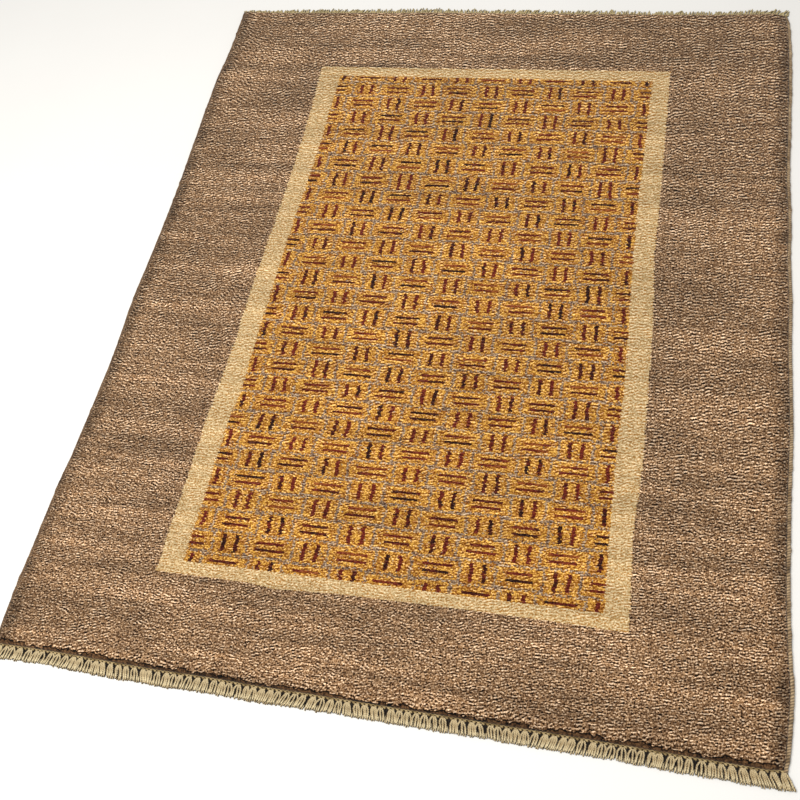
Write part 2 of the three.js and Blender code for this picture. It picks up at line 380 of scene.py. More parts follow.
def chance(tree, x, y, z=0.0):
    """A number from 0 to 1 that is even over one knot, row or motif, and differs from the next."""
    made = tree.nodes.new("ShaderNodeTexWhiteNoise")
    made.noise_dimensions = "3D"
    join(tree, at(tree, x, y, z), made.inputs["Vector"])
    return Number(tree, made.outputs[0])


def tufts(tree, place):
    """Uneven cells one unit wide: the distance to the middle of each, and a number of its own."""
    made = tree.nodes.new("ShaderNodeTexVoronoi")
    made.voronoi_dimensions = "2D"
    join(tree, place, made.inputs["Vector"])
    made.inputs["Scale"].default_value = 1.0
    made.inputs["Randomness"].default_value = 1.0
    own = tree.nodes.new("ShaderNodeSeparateColor")
    tree.links.new(made.outputs["Color"], own.inputs[0])
    return Number(tree, made.outputs["Distance"]), Number(tree, own.outputs[0])


def mix(tree, share, first, second, way="MIX"):
    """One colour going over into another."""
    made = tree.nodes.new("ShaderNodeMix")
    made.data_type = "RGBA"
    made.blend_type = way
    join(tree, share, made.inputs[0])
    join(tree, first, made.inputs[6])
    join(tree, second, made.inputs[7])
    return made.outputs[2]


def shaded(tree, colour, brightness):
    """A colour made darker or lighter by a number."""
    scaled = tree.nodes.new("ShaderNodeVectorMath")
    scaled.operation = "SCALE"
    join(tree, colour, scaled.inputs[0])
    join(tree, brightness, scaled.inputs["Scale"])
    return scaled.outputs[0]


def raise_surface(tree, shader, height, depth):
    """Relief too fine for the mesh, of a depth in metres."""
    bump = tree.nodes.new("ShaderNodeBump")
    bump.inputs["Strength"].default_value = 1.0
    bump.inputs["Distance"].default_value = depth
    join(tree, height, bump.inputs["Height"])
    tree.links.new(bump.outputs[0], shader.inputs["Normal"])


def design_colours(tree, across, along, fuzz):
    """The colour of each knot, by the chart: brown border, cream band, and gold field with its motifs.

    A motif stands or lies. A standing one is a gold square with two upright dashes. A lying one is a
    flat gold bar with two level dashes. They take turns both ways, and a taupe outline parts them."""
    rough = cloud(tree, at(tree, across, along), scale=0.8, detail=1) - 0.5
    shift = (chance(tree, along.floor(), (across / MOTIF_KNOTS).floor()) - 0.5) * 1.5
    free_knot = across + shift + rough * fuzz
    free_row = along + rough * fuzz * 0.8
    knot = free_knot.floor() + 0.5
    row = free_row.floor() + 0.5

    column = (knot / MOTIF_KNOTS + 0.5).floor()
    line = (row / MOTIF_ROWS + 0.5).floor()
    x = knot - column * MOTIF_KNOTS
    y = row - line * MOTIF_ROWS
    lies = (column + line) % 2
    stands = lies * -1 + 1

    bar = abs(y) < MOTIF["bar_rows"]
    square = (abs(x) < MOTIF["square_knots"]).least(abs(y) < MOTIF["square_rows"])
    square = square.most((abs(x) > MOTIF["beside_knots"]).least(bar))
    gold_part = bar * lies + square * stands
    stray = chance(tree, knot, row, 8.1)
    gold_part = gold_part.most(stray > (abs(x) > MOTIF["square_knots"]) * 0.2 + 0.66).least(stray > 0.03)

    free_x = free_knot - column * MOTIF_KNOTS
    free_y = free_row - line * MOTIF_ROWS
    upright_end = chance(tree, column, line, 3.3) * 1.4 + MOTIF["upright_end"]
    upright = abs(abs(free_x) - MOTIF["upright_middle"]) < MOTIF["upright_half"]
    upright = upright.least(abs(y) < upright_end)
    side = (x > 0) * stands + (y > 0) * lies
    middle = (chance(tree, column, line, 5.7) - 0.5) * 0.8
    level_end = chance(tree, column, line, side + 1.9) * 1.6 + MOTIF["level_end"]
    level_start = (chance(tree, column, line, side + 7.4) - 0.5) * 2
    level = abs(abs(free_y - middle) - MOTIF["level_middle"]) < MOTIF["level_half"]
    level = level.least(abs(free_x - level_start) < level_end)
    dash = upright * stands + level * lies

    faded = chance(tree, column, line, side + 12.5)
    patch = cloud(tree, at(tree, column * 7.1 + x * 0.09, line * 3.7 + y * 0.23, side * 5), 1.0, 1)
    fading = faded * 0.5 + patch * 0.9
    dash_colour = mix(tree, fading.ramp(0.42, 0.8), dye(42, 10, 6), dye(108, 34, 20))
    dash_colour = mix(tree, fading.ramp(0.78, 1.0) * lies * 0.75, dash_colour, dye(160, 92, 40))

    _, speck = tufts(tree, at(tree, across * 0.75 + along * 0.2, along))
    gold = mix(tree, speck.ramp(0.05, 0.95), dye(158, 98, 20), dye(216, 166, 70))
    taupe = mix(tree, speck.ramp(0.1, 0.9), dye(114, 93, 80), dye(172, 146, 116))
    field = mix(tree, gold_part, taupe, gold)
    field = mix(tree, dash, field, dash_colour)

    cream = mix(tree, speck.ramp(0.0, 1.0), dye(184, 160, 114), dye(214, 190, 145))
    brown = mix(tree, speck.ramp(0.1, 0.9), dye(125, 95, 67), dye(160, 127, 93))

    inside = (knot > 0).least(knot < FIELD_KNOTS).least(row > 0).least(row < FIELD_ROWS)
    framed = (knot > -BAND_LEFT).least(knot < FIELD_KNOTS + BAND_RIGHT)
    framed = framed.least(row > -BAND_NEAR).least(row < FIELD_ROWS + BAND_FAR)
    colour = mix(tree, framed, brown, cream)
    return mix(tree, inside, colour, field), inside, framed, dash * inside


def ground_material():
    """The back of the rug: every knot shows as a flat bead between the cotton wefts."""
    material, tree, shader = start_material("knotted_back", 0.92, 0.1, 0.5)
    across, along, _ = read_points(tree, "chart")
    colour, _, _, _ = design_colours(tree, across, along, 0.3)
    bead_x = abs(across % 1.0 - 0.5)
    bead_y = abs(along % 1.0 - 0.5)
    weft = bead_x.most(bead_y).ramp(0.34, 0.5)
    streak = cloud(tree, at(tree, across * 0.02, along * 0.4), 1.0, 3).ramp(0.3, 0.7, 0.88, 1.08)
    colour = shaded(tree, colour, streak)
    colour = mix(tree, weft * 0.55, colour, dye(196, 182, 150))
    tree.links.new(colour, shader.inputs["Base Color"])
    raise_surface(tree, shader, weft * -1 + 1, 0.5 * MM)
    return material


def make_ground():
    """A closed sheet: the top grid under the pile, the bottom grid on the floor, and a rim between."""
    across, along = np.meshgrid(np.linspace(0, 1, GROUND_COLUMNS), np.linspace(0, 1, GROUND_ROWS))
    x, y = cloth_place(across.ravel(), along.ravel())
    count = len(x)
    top = np.stack([x, y, np.full(count, GROUND_THICKNESS)], axis=1)
    foot = np.stack([x, y, np.zeros(count)], axis=1)
    faces = grid_faces(GROUND_ROWS, GROUND_COLUMNS)
    numbers = np.arange(count).reshape(GROUND_ROWS, GROUND_COLUMNS)
    rim = np.concatenate([numbers[0, :-1], numbers[:-1, -1], numbers[-1, :0:-1], numbers[:0:-1, 0]])
    following = np.roll(rim, -1)
    wall = np.stack([rim + count, following + count, following, rim], axis=1)
    every_face = np.concatenate([faces, faces[:, ::-1] + count, wall])
    ground = make_mesh("woven_ground", np.concatenate([top, foot]), every_face, ground_material(), False)
    knots, rows = chart_place(x, y)
    chart = np.stack([knots, rows, np.zeros(count)], axis=1)
    paint_points(ground, "chart", np.concatenate([chart, chart]))
    return ground


ground = make_ground()
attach(ground, "root")
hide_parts("pile_carpet")

# The knotted pile.
# Short wool yarns tied row by row round the warps and sheared level at about ten millimetres.
# The shears and years of use leave it combed in slow waves, and the rows part a little between tufts.
PILE_COLUMN = 3.6 * MM
PILE_ROW = 2.17 * MM
PILE_STRETCHES = 6
PILE_HEIGHT = 11.9 * MM
PILE_RIM_HEIGHT = 5.5 * MM
PILE_ROUNDING = 11 * MM
PILE_UNEVENNESS = 0.6 * MM
# How long the slow waves of the sheared level are, in millimetres
PILE_WAVES = {"across": 61, "across_drift": 97, "along": 47, "along_drift": 83}
RIM_STEEPNESS = 1.8
RIM_COLUMNS = np.array([0, 1.6, 3.6, 6, 9, 12.5]) * MM
RIM_ROWS = np.array([0, 0.9, 2, 3.3, 4.8, 6.4, 8.1]) * MM
# At the near end the last rows lean out over the flat weave, over a ragged band of roots painted dark as
# their shade
NEAR_ROOT_SHADE = 5 * MM
NEAR_ROOT_SHADE_FADE = 2 * MM
NEAR_LAP = 3.5 * MM
NEAR_LAP_START = 16 * MM
ROOT_SHADE_TIP = -6.0
RIPPLE_HEIGHT = 0.65 * MM
SPECK_HEIGHT = 0.28 * MM
JITTER = (0.9 * MM, 0.3 * MM)

# The combed ripples of the pile at three places along the rug, which way they lean in radians, and how
# far from the middle and over what length, in metres, one kind goes over into the next
RIPPLES = [
    {"place": "near", "pitch": 5.6 * MM, "length": 4.6 * MM},
    {"place": "middle", "pitch": 7.8 * MM, "length": 4.6 * MM},
    {"place": "far", "pitch": 10.4 * MM, "length": 5 * MM},
]
RIPPLE_LEANS = {"level": 0.0, "falling": -0.46, "rising": 0.4}
RIPPLE_CHANGE = 0.42
RIPPLE_BLEND = 0.14


def grid_shares(length, spacing, rim):
    """Shares from 0 to 1: close lines along both rims and even ones between."""
    inner = rim[-1]
    count = int(round((length - 2 * inner) / spacing))
    even = np.linspace(inner, length - inner, count + 1)[1:-1]
    return np.concatenate([rim, even, (length - rim)[::-1]]) / length


def ripples(shape, pitch, length, lean, seed):
    """Uneven ripples of one pitch, length and lean, made from random numbers by keeping such waves."""
    rows, columns = shape
    upwards = np.fft.fftfreq(rows, PILE_ROW)[:, None]
    sideways = np.fft.rfftfreq(columns, PILE_COLUMN)[None, :]
    lengthways = sideways * math.cos(lean) + upwards * math.sin(lean)
    crossways = upwards * math.cos(lean) - sideways * math.sin(lean)
    pitch_kept = ((np.abs(crossways) * pitch - 1) / 0.22) ** 2
    length_kept = (lengthways * length) ** 2 * 4
    draw = np.random.default_rng(seed).standard_normal(shape)
    waves = np.fft.irfft2(np.fft.rfft2(draw) * np.exp(-(pitch_kept + length_kept) / 2), shape)
    return waves / waves.std()


def patches(shape, size, seed):
    """Slow patches from -1 to 1 of about one size, the same in both directions."""
    rows, columns = shape
    upwards = np.fft.fftfreq(rows, PILE_ROW)[:, None]
    sideways = np.fft.rfftfreq(columns, PILE_COLUMN)[None, :]
    draw = np.random.default_rng(seed).standard_normal(shape)
    kept = np.exp(-(upwards ** 2 + sideways ** 2) * size ** 2 * 3)
    soft = np.fft.irfft2(np.fft.rfft2(draw) * kept, shape)
    return np.tanh(soft / soft.std())


def blend(first, second, share):
    """Two fields of ripples going over into each other, as strong everywhere as either."""
    return (first * share + second * (1 - share)) / np.sqrt(share ** 2 + (1 - share) ** 2)


def pile_relief(shape, x, y):
    """How far each point stands above or below the sheared level, in deviations of about 1."""
    near_share = 1 / (1 + np.exp((y + RIPPLE_CHANGE) / RIPPLE_BLEND))
    far_share = 1 / (1 + np.exp((RIPPLE_CHANGE - y) / RIPPLE_BLEND))
    ways = {}
    for way, lean in RIPPLE_LEANS.items():
        seed = 11 + len(ways)
        near, middle, far = [ripples(shape, kind["pitch"], kind["length"], lean, seed + 6 * number)
                             for number, kind in enumerate(RIPPLES)]
        ways[way] = blend(far, blend(near, middle, near_share), far_share)
    # The pile is combed aslant over the left near part, and in patches elsewhere
    left_near = 1 / (1 + np.exp((x * 1.6 + y * 0.9 + 0.25) / 0.22))
    slant = np.clip(left_near + 0.35 * patches(shape, 0.13, 14), 0, 1)
    crossed = np.clip(0.5 + 0.6 * patches(shape, 0.06, 15), 0, 1)
    slanting = ways["falling"] * crossed + ways["rising"] * (1 - crossed)
    return ways["level"] * np.sqrt(1 - slant * 0.8) + slanting * np.sqrt(slant * 0.8 + 0.05)


def sheared_height(x, y, across, along, length):
    """The level the shears leave: full over the cloth, falling away round its rim."""
    width = right_line[0, 0] - left_line[0, 0]
    sideways = np.minimum(across, 1 - across) * width
    lengthways = np.minimum(along, 1 - along) * length
    inward = np.clip(np.minimum(sideways * RIM_STEEPNESS, lengthways) / PILE_ROUNDING, 0, 1)
    rounding = np.sqrt(1 - (1 - inward) ** 2)
    drift_x = np.sin(y / MM / PILE_WAVES["along_drift"])
    drift_y = np.cos(x / MM / PILE_WAVES["across_drift"])
    wave = np.sin(x / MM / PILE_WAVES["across"] + drift_x) * np.sin(y / MM / PILE_WAVES["along"] - drift_y)
    full = PILE_HEIGHT - PILE_UNEVENNESS * (1 - wave) * inward
    return PILE_RIM_HEIGHT + (full - PILE_RIM_HEIGHT) * rounding, inward


def pile_material():
    """Hand-spun wool, so no two tufts are the same shade, and each weft-wide bout of yarn differs. Painted
    shade darkens the slits between rows, and painted highlights lighten the crests.
    """
    material, tree, shader = start_material("knotted_wool", 0.95, 0.22, 0.45)
    across, along, tip = read_points(tree, "chart")
    colour, inside, framed, dash = design_colours(tree, across, along, 1.5)

    bout = cloud(tree, at(tree, across * 0.009, along * 0.24), 1.0, 4, 0.6).ramp(0.3, 0.7, 0.78, 1.2)
    batch = cloud(tree, at(tree, across * 0.005 + 9, along * 0.06), 1.0, 3).ramp(0.32, 0.68, 0.8, 1.17)
    worn = cloud(tree, at(tree, across * 0.014, along * 0.02), 1.0, 2).ramp(0.3, 0.7, 0.9, 1.1)

    fibre = cloud(tree, at(tree, across * 2.6, along * 3.1), 1.0, 2, 0.7)
    gap, own = tufts(tree, at(tree, across * 0.75 + along * 0.2, along))
    parted = cloud(tree, at(tree, across * 0.92, along), 1.0, 2, 0.6)
    combed = tip * 0.85 + (parted - 0.5) * 7
    # painted shade: the ragged band of roots under the last near rows goes nearly black
    root_shade = tip.ramp(ROOT_SHADE_TIP, -3.5, 1.0, 0.0)
    # painted shade: darker in the slits between the combed rows of tufts, following the relief
    slit = combed.ramp(-1.2, 0.35, 0.0, 1.0)
    # painted highlight: lighter on the crests of the combed rows, less on the dashes
    crest = combed.ramp(0.2, 1.7) * (dash * -0.8 + 1)
    fleck = own.ramp(0.0, 1.0, 0.92, 1.1)
    # painted slit shade and crest highlight, with each tuft's own tone
    strong = slit * (crest + 1) * fleck
    # the painted shade of the slits and the roots goes towards a warm dark brown
    warm_slit_shade = mix(tree, slit.most(root_shade * 0.6), (1.0, 0.62, 0.25, 1.0), (1.0, 1.0, 1.0, 1.0))
    colour = mix(tree, 1.0, colour, warm_slit_shade, "MULTIPLY")
    # the painted highlights go over towards a pale straw
    colour = mix(tree, crest * (inside * -0.14 + 0.38), colour, dye(229, 210, 184))

    # the painted shade and highlights are softer in the cream band and softer still in the field
    quiet = (framed - inside) * 0.62 + inside * 0.3
    light = strong * (quiet * -1 + 1) + quiet
    # darker towards both long sides, in patches
    from_left = across + (BAND_LEFT + BORDER_SIDE)
    side = from_left.least(across * -1 + (FIELD_KNOTS + BAND_RIGHT + BORDER_SIDE))
    side_patches = cloud(tree, at(tree, across * 0.05, along * 0.07), 1.0, 2).ramp(0.3, 0.7, 0.45, 1.0)
    light = light * (side.ramp(2, 14, 0.6, 0.0) * side_patches * -1 + 1)
    # painted shade over the roots, with a little of their own tone left
    light = light * (root_shade * -1 + 1) + root_shade * (parted.ramp(0.35, 0.65) * 0.35 + own * 0.15 + 0.06)
    # lighter by up to a tenth towards the right side and the near end
    lighter_right_near = (across - along * 0.35).ramp(200, 340, 1.0, 1.1)
    lot = bout * batch * worn * lighter_right_near
    lot = lot + (lot * -1 + 1) * framed * 0.5
    tree.links.new(shaded(tree, colour, light * lot), shader.inputs["Base Color"])

    raise_surface(tree, shader, combed.ramp(-1.6, 1.6) * 0.5 - gap * 0.12 + fibre * 0.3, 1.0 * MM)
    return material


def make_pile():
    """The pile as one skin in crosswise stretches that meet edge to edge, and go down to the ground."""
    length = float(far_line[:, 1].mean() - near_line[:, 1].mean())
    width = float(right_line[:, 0].mean() - left_line[:, 0].mean())
    across = grid_shares(width, PILE_COLUMN, RIM_COLUMNS)
    along = grid_shares(length, PILE_ROW, RIM_ROWS)
    shape = (len(along), len(across))
    grid_across, grid_along = np.meshgrid(across, along)
    x, y = cloth_place(grid_across, grid_along)
    level, inward = sheared_height(x, y, grid_across, grid_along, length)

    relief = pile_relief(shape, x, y)
    draw = np.random.default_rng(21)
    speck = draw.standard_normal(shape)
    z = level + (relief * RIPPLE_HEIGHT + speck * SPECK_HEIGHT) * (0.45 + 0.55 * inward)
    knots, rows = chart_place(x, y)
    y = y - NEAR_LAP * np.clip(1 - grid_along * length / NEAR_LAP_START, 0, 1)
    free = inward > 0.5
    x = x + draw.uniform(-1, 1, shape) * JITTER[0] * free
    y = y + draw.uniform(-1, 1, shape) * JITTER[1] * free
    # the ragged near band that gets the painted root shade
    ragged = NEAR_ROOT_SHADE * (1 + 0.45 * patches(shape, 0.03, 16) + 0.4 * patches(shape, 0.007, 17))
    root_shade_share = np.clip((ragged - grid_along * length) / NEAR_ROOT_SHADE_FADE, 0, 1)
    tip = (relief + speck * 0.3) * (1 - root_shade_share) + ROOT_SHADE_TIP * root_shade_share

    material = pile_material()
    cuts = np.linspace(0, shape[0] - 1, PILE_STRETCHES + 1).round().astype(int)
    chart = np.stack([knots, rows, tip], axis=2)
    stretches = []
    for number, (a, b) in enumerate(zip(cuts[:-1], cuts[1:])):
        turned = ((int(a == 0), int(b == shape[0] - 1)), (1, 1))
        part = slice(a, b + 1)
        stretches.append(pile_stretch(number + 1, x[part], y[part], z[part], chart[part], turned, material))
    return stretches


def drop_bare_points(piece):
    """Takes away the points that no face of a piece uses."""
    whole = bmesh.new()
    whole.from_mesh(piece.data)
    bare = [point for point in whole.verts if not point.link_faces]
    bmesh.ops.delete(whole, geom=bare, context="VERTS")
    whole.to_mesh(piece.data)
    whole.free()


def pile_stretch(number, x, y, z, chart, turned, material):
    """One crosswise stretch of pile, turned down to the ground where the rug itself ends."""
    x, y = np.pad(x, turned, mode="edge"), np.pad(y, turned, mode="edge")
    z = np.pad(z, turned, constant_values=GROUND_THICKNESS + 0.05 * MM)
    chart = np.pad(chart, (*turned, (0, 0)), mode="edge")
    # painted shade on the turned-down walls: a little on the sides, dark at the far end, root shade at the
    # near end
    chart[:, [0, -1], 2] = -0.6
    chart[0, :, 2] = ROOT_SHADE_TIP if turned[0][0] else chart[0, :, 2]
    chart[-1, :, 2] = -2 if turned[0][1] else chart[-1, :, 2]
    points = np.stack([x, y, z], axis=2).reshape(-1, 3)
    faces = grid_faces(*x.shape)
    wide = np.ptp(points[faces][:, :, :2], axis=1).max(axis=1) > 0
    stretch = make_mesh(f"knotted_pile_{number}", points, faces[wide], material)
    paint_points(stretch, "chart", chart.reshape(-1, 3))
    unwrap_grid(stretch, *x.shape)
    drop_bare_points(stretch)
    return stretch


pile = make_pile()
for stretch in pile:
    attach(stretch, "root")
    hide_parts("pile_carpet")

# The two selvedges.
# The outermost warps of each long side, wrapped over and over with beige-brown wool yarn.
# They lie as round cords against the cloth, and near the corners they draw in over the end weave.
SELVEDGE_WIDTH = 9.5 * MM
SELVEDGE_HEIGHT = 8.4 * MM
SELVEDGE_TUCK = 2.6 * MM
SELVEDGE_TAIL = 7 * MM
SELVEDGE_KNOT = 1.5 * MM
SELVEDGE_TAPER = 5 * MM
SELVEDGE_FOOT = 0.9 * MM
WRAP_PITCH = 5.4 * MM
WRAP_DEPTH = 0.45 * MM
WRAP_SLANT = 0.4
RINGS_PER_WRAP = 4
WOBBLE_RINGS = 7
SELVEDGE_SIDES = 10


def selvedge_material(name, dark, light):
    """Loosely spun wrapping wool: a painted highlight on each turn and painted shade in the slits between
    turns.
    """
    material, tree, shader = start_material(name, 0.93, 0.2, 0.45)
    along, around, slit = read_points(tree, "wrap")
    bout = cloud(tree, at(tree, along * 45, around * 0.3), 1.0, 4, 0.6).ramp(0.3, 0.7)
    fibre = cloud(tree, at(tree, along * 650, around * 5), 1.0, 2, 0.7)
    tied = cloud(tree, at(tree, along * 30, 7.0), 1.0, 1).ramp(0.62, 0.7, 1.0, 0.55)
    colour = mix(tree, bout, dark, light)
    # painted shade in the slits between turns and a painted highlight on the turns, with the yarn's fibre
    # and dark stretches
    shade = (slit + fibre * 0.8).ramp(0.4, 1.25, 1.14, 0.42) * fibre.ramp(0.25, 0.75, 0.75, 1.2) * tied
    tree.links.new(shaded(tree, colour, shade), shader.inputs["Base Color"])
    raise_surface(tree, shader, fibre, 0.8 * MM)
    return material


def make_selvedge(name, side, line, material):
    """One wrapped cord along a side, closed at both ends, whose near end laps over the end weave."""
    rng = np.random.default_rng(31 + side)
    start, end = line[0, 1] - SELVEDGE_TAIL, line[-1, 1] - 0.5 * MM
    count = int((end - start) / WRAP_PITCH) * RINGS_PER_WRAP
    y = np.linspace(start, end, count)
    edge = left_at(y) if side < 0 else right_at(y)
    turn = np.linspace(0, 2 * math.pi, SELVEDGE_SIDES, endpoint=False)
    phase = (y[:, None] - start) / WRAP_PITCH - WRAP_SLANT * np.cos(turn)[None, :] * side
    stations = np.arange(0, count + WOBBLE_RINGS, WOBBLE_RINGS)
    wobble = np.interp(np.arange(count), stations, rng.uniform(-1, 1, len(stations)))
    slit = 0.5 + 0.5 * np.cos(2 * math.pi * (phase + 0.3 * wobble[:, None]))
    fuzz = rng.normal(0, 0.13, (count, SELVEDGE_SIDES)) * MM
    bulge = 1 + 0.07 * wobble[:, None]
    half_width = SELVEDGE_WIDTH / 2 * bulge - WRAP_DEPTH * slit + fuzz
    half_height = SELVEDGE_HEIGHT / 2 * bulge - WRAP_DEPTH * slit + fuzz
    taper = np.clip(np.minimum(y - start, end - y) / SELVEDGE_TAPER, 0, 1)[:, None]
    taper = 0.35 + 0.65 * np.sqrt(taper)
    bump = SELVEDGE_KNOT * np.interp(np.arange(count), stations, rng.uniform(0, 1, len(stations)) ** 6)
    middle = edge + side * (SELVEDGE_WIDTH / 2 - SELVEDGE_TUCK + bump)
    x = middle[:, None] + np.cos(turn)[None, :] * half_width * taper
    z = SELVEDGE_HEIGHT / 2 + np.sin(turn)[None, :] * half_height * taper
    z = np.where(z < SELVEDGE_FOOT, 0, z)
    points = np.stack([x, np.repeat(y[:, None], SELVEDGE_SIDES, 1), z], axis=2).reshape(-1, 3)
    piece = make_mesh(name, points, tube_faces(count, SELVEDGE_SIDES)[:, ::-1], material)
    # the slit reading carries the painted shade between turns to the material
    wrap = np.stack([np.repeat(y[:, None], SELVEDGE_SIDES, 1), np.repeat(turn[None, :], count, 0), slit],
                    axis=2)
    paint_points(piece, "wrap", wrap.reshape(-1, 3))
    return piece


# the same wrapping yarn on both sides; the left copy is painted darker as the shade on that side
wool_left_shaded = selvedge_material("overcast_left_shaded", dye(100, 74, 52), dye(152, 122, 92))
wool_right = selvedge_material("overcast_right", dye(138, 111, 80), dye(208, 180, 142))
left_selvedge = make_selvedge("overcast_selvedge_left", -1, left_line, wool_left_shaded)
right_selvedge = make_selvedge("overcast_selvedge_right", 1, right_line, wool_right)
for piece, node in ((left_selvedge, "selvedge_left"), (right_selvedge, "selvedge_right")):
    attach(piece, "root")
    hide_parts(node)

# The near end.
# A narrow flat-woven strip locks the last row of knots, twined from olive-tan cotton.
# Below it the warps hang out as twisted loops, never cut, three or four to a group, over lower warps.
END_HEIGHT = 4.5 * MM
END_SEAM = 0.3 * MM
NEAR_WEAVE = 8.2 * MM
ROOT_TUCK = 1.2 * MM
NEAR_GROUPS = 91
NEAR_CORD = 4.6 * MM
LOWER_CORD = 4.6 * MM
CORD_SIDES = 8
PLY_PITCH = 8 * MM
PLY_DEPTH = 0.16
ROOT_SPREAD = 1.9 * MM
LOOP_SPREAD = 6 * MM
LEAN = 8 * MM
LOOP_ROOT_HEIGHT = 3 * MM
LOOP_RISE = 2.4 * MM
LOOP_SHORT = 2.4 * MM
LOWER_ROOT_HEIGHT = 1.4 * MM
LOWER_TIP_HEIGHT = 1.5 * MM
LEAN_WAVES = [{"length": 92, "share": 0.6, "start": 0.0}, {"length": 37, "share": 0.4, "start": 1.3}]
CORNER_FAN = 45 * MM
CORNER_LEAN = 6 * MM
TWINE_PITCH = 8.2 * MM
STRIP_STEP = 1.5 * MM
STRIP_OUT = np.array([0.0, 0.0, 0.2, 0.4, 0.55, 0.75, 0.95, 1.0])
STRIP_UP = np.array([0.3, 0.8, 1.0, 0.94, 0.86, 0.98, 0.7, 0.3])


def slow_lean(x):
    """The slow lean of a fringe along its end, from -1 to 1."""
    return sum(wave["share"] * np.sin(x / MM / wave["length"] + wave["start"]) for wave in LEAN_WAVES)


def tip_line(node, side):
    """Where the strands of a packed end reach, as a line of points across the rug."""
    points = np.array([corner.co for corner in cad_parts[node].data.vertices])
    places = np.linspace(points[:, 0].min() + 8 * MM, points[:, 0].max() - 8 * MM, 60)
    reach = [side * (side * points[np.abs(points[:, 0] - x) < 14 * MM][:, 1]).max() for x in places]
    return places, np.array(reach)


def cotton_material(name, dark, light, gap):
    """Undyed cotton: pale on the plies, tan where it is worn, and nearly black with painted shade on the
    undersides, the sides and in the grooves.
    """
    material, tree, shader = start_material(name, 0.85, 0.12, 0.5)
    along, around, deep = read_points(tree, "ply")
    worn = cloud(tree, at(tree, along * 55, around * 0.4), 1.0, 3).ramp(0.32, 0.68)
    fibre = cloud(tree, at(tree, along * 700, around * 5), 1.0, 2, 0.7)
    colour = mix(tree, worn, dark, light)
    # painted shade from the deep reading
    colour = mix(tree, (deep + (fibre - 0.5) * 0.5).ramp(0.18, 0.75), colour, gap)
    shade = fibre.ramp(0.25, 0.75, 0.8, 1.18)
    tree.links.new(shaded(tree, colour, shade), shader.inputs["Base Color"])
    raise_surface(tree, shader, fibre, 0.5 * MM)
    return material


def cord_along(path, radius, sides, twist_start, shadow=0.0):
    """Points, faces and readings of one twisted cord along a path, with closed ends."""
    step = np.gradient(path, axis=0)
    step /= np.linalg.norm(step, axis=1)[:, None]
    across = np.cross(step, np.array([0.0, 0.0, 1.0]))
    across /= np.linalg.norm(across, axis=1)[:, None]
    upward = np.cross(across, step)
    run = np.concatenate([[0], np.cumsum(np.linalg.norm(np.diff(path, axis=0), axis=1))])
    turn = np.linspace(0, 2 * math.pi, sides, endpoint=False)
    ply = np.cos(2 * turn[None, :] - 2 * math.pi * run[:, None] / PLY_PITCH * 2 + twist_start)
    size = radius[:, None] * (1 + PLY_DEPTH * ply)
    points = path[:, None, :] + size[:, :, None] * (
        np.cos(turn)[None, :, None] * across[:, None, :] + np.sin(turn)[None, :, None] * upward[:, None, :])
    points[:, :, 2] = np.maximum(points[:, :, 2], 0)
    # painted shade: each cord's sides and underside darker, its ply grooves a little, and near the root as
    # much as shadow gives
    facing = np.sin(turn)
    under = (np.clip((0.8 - facing) / 0.85, 0, 1) * np.where(facing < -0.6, 0.4, 1))[None, :]
    from_root = np.clip(1.5 - run / run[-1] * 1.9, 0, 1)[:, None]
    deep = np.clip((0.5 - 0.5 * ply) * 0.5 + under + shadow * from_root, 0, 1)
    readings = np.stack([np.repeat(run[:, None], sides, 1), np.repeat(turn[None, :], len(path), 0), deep],
                        axis=2)
    return points.reshape(-1, 3), tube_faces(len(path), sides)[:, ::-1], readings.reshape(-1, 3)


def join_cords(name, cords, material):
    """Many cords as one mesh."""
    starts = np.cumsum([0] + [len(points) for points, _, _ in cords[:-1]])
    points = np.concatenate([points for points, _, _ in cords])
    faces = np.concatenate([faces + start for (_, faces, _), start in zip(cords, starts)])
    piece = make_mesh(name, points, faces, material)
    paint_points(piece, "ply", np.concatenate([readings for _, _, readings in cords]))
    return piece


def loop_path(root, tip, spread, count):
    """A twisted warp loop: out from its narrow root, aside in a quick bow, then straight to its tip."""
    share = np.linspace(0, 1, count)
    bow = np.sin(np.minimum(1, share * 2.1) * math.pi / 2)
    x = root[0] + spread * bow + (tip[0] - root[0] - spread) * share ** 1.4
    y = root[1] + (tip[1] - root[1]) * share
    z = root[2] + (tip[2] - root[2]) * np.minimum(1, share * 1.9)
    return np.stack([x, y, z], axis=1)


def weave_strip(name, side, line, width, pitch, material):
    """A flat-woven end: a low rounded strip whose twined wefts make slanting ridges."""
    left = left_at(line[0, 1]) - SELVEDGE_WIDTH * 0.6
    right = right_at(line[-1, 1]) + SELVEDGE_WIDTH * 0.6
    count = int((right - left) / STRIP_STEP)
    x = np.linspace(left, right, count)
    edge = (near_at(x) if side < 0 else far_at(x)) + side * END_SEAM
    out = STRIP_OUT
    slant = x[:, None] / pitch + np.where(out < 0.5, 0.5, -0.5)[None, :] * out[None, :] * 1.2
    ridge = 0.5 + 0.5 * np.cos(2 * math.pi * slant)
    y = edge[:, None] + side * out[None, :] * width * (1 + 0.06 * ridge)
    z = END_HEIGHT * STRIP_UP[None, :] * (0.84 + 0.2 * ridge)
    points = np.stack([np.repeat(x[:, None], len(out), 1), y, z], axis=2)
    low = points[:, [-1, 0], :].copy()
    low[:, :, 2] = 0
    points = np.concatenate([points, low], axis=1)
    sides = points.shape[1]
    readings = np.zeros((count, sides, 3))
    readings[:, :, 0] = x[:, None]
    readings[:, :len(out), 1] = out * 3
    # painted shade in the grooves between the twined ridges, on the outer edge and on the foot
    readings[:, :len(out), 2] = 0.8 - 0.8 * ridge + (out > 0.9) * 0.5
    readings[:, len(out):, 2] = 0.4
    faces = tube_faces(count, sides)
    if side > 0:
        faces = faces[:, ::-1]
    piece = make_mesh(name, points.reshape(-1, 3), faces, material)
    paint_points(piece, "ply", readings.reshape(-1, 3))
    return piece


